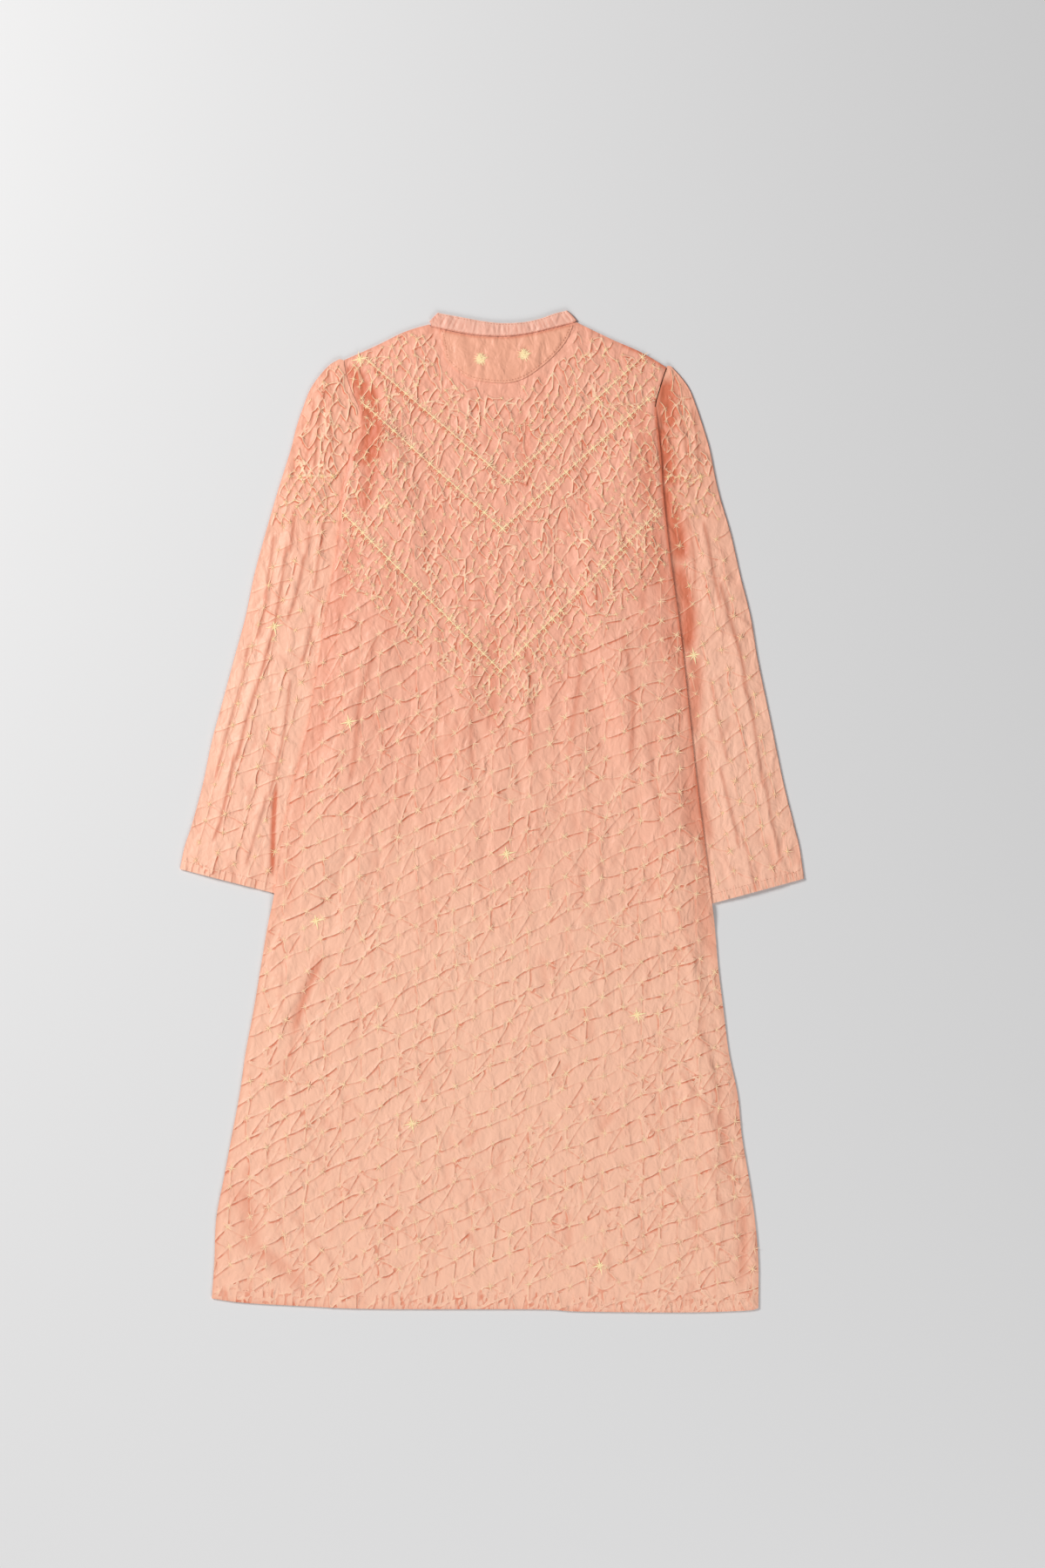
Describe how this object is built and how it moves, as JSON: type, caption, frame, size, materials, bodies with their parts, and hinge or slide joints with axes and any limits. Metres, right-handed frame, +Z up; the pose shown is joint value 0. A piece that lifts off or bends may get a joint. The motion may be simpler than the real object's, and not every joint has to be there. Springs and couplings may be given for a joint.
{
  "type": "bandhani dress",
  "caption": "Long tie-dyed silk dress laid flat with its back up: long sleeves tucked under the body, band collar, half-moon neck patch, creased tied dots and V lines",
  "frame": {"origin": "middle of the garment's outline on the surface that it lies on", "axes": "+X to the picture's right across the dress, +Y from the hem up to the neck, +Z up from the surface through the layers"},
  "size_m": [0.7167, 1.1514, 0.0095],
  "materials": {
    "tied_silk": "soft crinkled silk with a slight sheen",
    "plain_silk": "soft plain silk with a slight sheen"
  },
  "bodies": {
    "root": {"back_panel": "tied_silk", "front_panel": "tied_silk", "sleeve_left": "tied_silk", "sleeve_right": "tied_silk", "collar": "plain_silk", "neck_patch": "plain_silk"}
  },
  "joints": []
}
